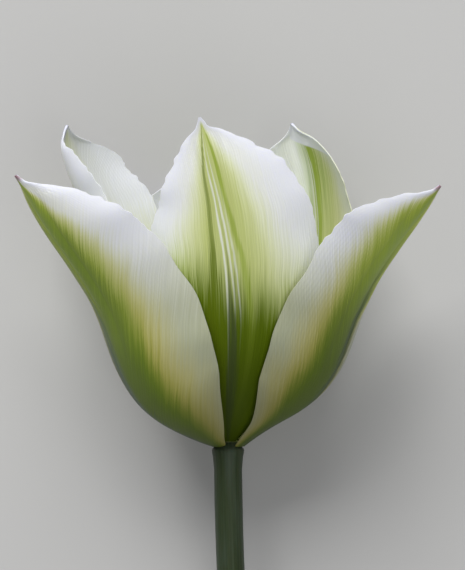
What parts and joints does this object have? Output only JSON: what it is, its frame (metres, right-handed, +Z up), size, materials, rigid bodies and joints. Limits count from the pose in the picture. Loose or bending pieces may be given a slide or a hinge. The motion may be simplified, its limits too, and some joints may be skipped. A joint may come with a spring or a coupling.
{
  "type": "cut tulip flower",
  "caption": "Open white and green tulip bloom with flared pointed tepals, stamens and pistil, on a short cut stem, lying on its side.",
  "frame": {"origin": "on the table, under the middle of the flower as it lies, stem included", "axes": "+Z up, +Y from the cut end of the stem towards the mouth of the bloom, +X to the right when the bloom is seen from above with its mouth away from the viewer"},
  "size_m": [0.0944, 0.1889, 0.0697],
  "materials": {
    "outer_tepal": "satin petal, cream white with a pink flush at the margin and a broad green flame up the middle",
    "inner_tepal": "satin petal, white with a yellow-green flame and fine lengthwise veins",
    "stem": "smooth stem with a grey-blue bloom of wax",
    "filament": "smooth, cream to pale green",
    "anther": "powdery with pollen",
    "ovary": "smooth and slightly waxy",
    "stigma": "finely velvety"
  },
  "bodies": {
    "root": {"stem": "stem", "tepal_outer_left": "outer_tepal", "tepal_outer_right": "outer_tepal", "tepal_outer_back": "outer_tepal", "tepal_inner_front": "inner_tepal", "tepal_inner_back_left": "inner_tepal", "tepal_inner_back_right": "inner_tepal", "filament_1": "filament", "filament_2": "filament", "filament_3": "filament", "filament_4": "filament", "filament_5": "filament", "filament_6": "filament", "anther_1": "anther", "anther_2": "anther", "anther_3": "anther", "anther_4": "anther", "anther_5": "anther", "anther_6": "anther", "ovary": "ovary", "stigma": "stigma"}
  },
  "joints": []
}
